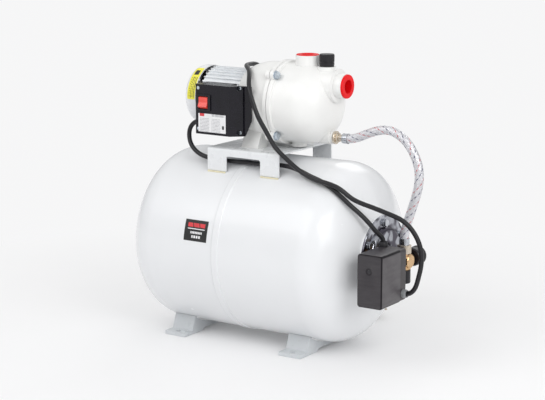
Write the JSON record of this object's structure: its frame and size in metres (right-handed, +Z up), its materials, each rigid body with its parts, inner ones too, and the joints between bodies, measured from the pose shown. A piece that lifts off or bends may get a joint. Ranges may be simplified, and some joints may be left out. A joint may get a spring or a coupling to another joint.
{
  "type": "home water pressure set",
  "caption": "Horizontal pressure tank on pressed feet carrying a self-priming jet pump with motor on a steel platform, braided hose, five-way fitting, gauge and pressure switch.",
  "frame": {"origin": "on the floor, under the tank's girth seam, midway between the front and back feet edges", "axes": "+X along the tank towards its flange and fittings, -Y towards the side with the rocker switch, +Z up"},
  "size_m": [0.6704, 0.4243, 0.5825],
  "materials": {
    "white_paint": "gloss",
    "pump_white": "satin",
    "motor_alu": "satin",
    "cover_white": "gloss",
    "zinc": "gloss",
    "steel": "satin",
    "bare_brass": "satin",
    "black_plastic": "satin",
    "switch_plastic": "matte",
    "red_plastic": "gloss",
    "dark_metal": "satin",
    "rubber": "matte",
    "cable_black": "satin",
    "braid": "satin",
    "inner_plastic": "matte",
    "ceramic": "gloss",
    "copper": "gloss",
    "bearing_steel": "gloss",
    "dial_white": "matte",
    "needle_black": "matte",
    "clear_glass": "gloss"
  },
  "bodies": {
    "set": {"air_valve": "bare_brass", "air_valve_cap": "black_plastic", "braided_hose": "braid", "cable_glands": "black_plastic", "diffuser": "inner_plastic", "drain_plug": "steel", "ejector": "inner_plastic", "fan_cover": "cover_white", "five_way_fitting": "bare_brass", "flange_bolts": "zinc", "gauge_case": "black_plastic", "gauge_dial": "dial_white", "gauge_lens": "clear_glass", "gauge_stem": "bare_brass", "hose_ferrules": "zinc", "hose_nipple": "bare_brass", "hose_nut": "zinc", "hose_tail": "bare_brass", "motor_bearings": "bearing_steel", "motor_bracket": "pump_white", "motor_cable": "cable_black", "motor_shell": "motor_alu", "outlet_cap": "black_plastic", "platform_bolts": "zinc", "pump_body": "pump_white", "pump_body_bolts": "zinc", "pump_gasket": "rubber", "pump_platform": "white_paint", "rear_shield": "dark_metal", "rocker_housing": "black_plastic", "run_capacitor": "black_plastic", "seal_seat": "ceramic", "stator_core": "steel", "stator_windings": "copper", "supply_cable": "cable_black", "switch_base": "switch_plastic", "switch_cover": "switch_plastic", "switch_cover_screw": "zinc", "tank_flange": "zinc", "tank_foot_left": "white_paint", "tank_foot_right": "white_paint", "tank_membrane": "rubber", "tank_shell_left": "white_paint", "tank_shell_right": "white_paint", "terminal_box": "black_plastic", "terminal_box_cover": "black_plastic", "terminal_box_screws": "zinc"},
    "rotating_group": {"motor_shaft": "steel", "rotor": "steel", "impeller": "bare_brass", "cooling_fan": "black_plastic", "seal_ring": "rubber"},
    "rocker_body": {"rocker": "red_plastic"},
    "needle": {"gauge_needle": "needle_black"},
    "cap_seal": {"filler_cap_seal": "rubber"},
    "cap": {"filler_cap": "black_plastic"},
    "suction_plug_body": {"suction_plug": "red_plastic"},
    "discharge_plug_body": {"discharge_plug": "red_plastic"},
    "pressure_plate": {"switch_diaphragm": "rubber"},
    "contact_lever": {"switch_lever": "zinc"}
  },
  "joints": [
    {"name": "rotor_spin", "type": "hinge", "parent": "set", "child": "rotating_group", "pos_m": [0, 0, 0.482], "axis": [1, 0, 0], "continuous": true},
    {"name": "rocker_tilt", "type": "hinge", "parent": "set", "child": "rocker_body", "pos_m": [-0.077, -0.1005, 0.482], "axis": [1, 0, 0], "range_deg": [0, 22]},
    {"name": "needle_turn", "type": "hinge", "parent": "set", "child": "needle", "pos_m": [0.322, 0.046, 0.194], "axis": [0, -1, 0], "range_deg": [0, 270]},
    {"name": "filler_cap_lift", "type": "slide", "parent": "set", "child": "cap_seal", "axis": [0, 0, 1], "range_m": [0, 0.012]},
    {"name": "filler_cap_turn", "type": "hinge", "parent": "cap_seal", "child": "cap", "pos_m": [0.144, 0, 0.558], "axis": [0, 0, 1], "range_deg": [0, 2160]},
    {"name": "suction_plug_pull", "type": "slide", "parent": "set", "child": "suction_plug_body", "axis": [1, 0, 0], "range_m": [0, 0.025]},
    {"name": "discharge_plug_pull", "type": "slide", "parent": "set", "child": "discharge_plug_body", "axis": [0, 0, 1], "range_m": [0, 0.025]},
    {"name": "diaphragm_push", "type": "slide", "parent": "set", "child": "pressure_plate", "axis": [0, -1, 0], "range_m": [0, 0.0015]},
    {"name": "lever_tilt", "type": "hinge", "parent": "set", "child": "contact_lever", "pos_m": [0.322, -0.074, 0.164], "axis": [1, 0, 0], "range_deg": [0, 2.88]}
  ],
  "couplings": [
    {"joint": "filler_cap_lift", "follows": "filler_cap_turn", "m_per_rad": 0.00031831},
    {"joint": "lever_tilt", "follows": "diaphragm_push", "rad_per_m": 33.333}
  ]
}
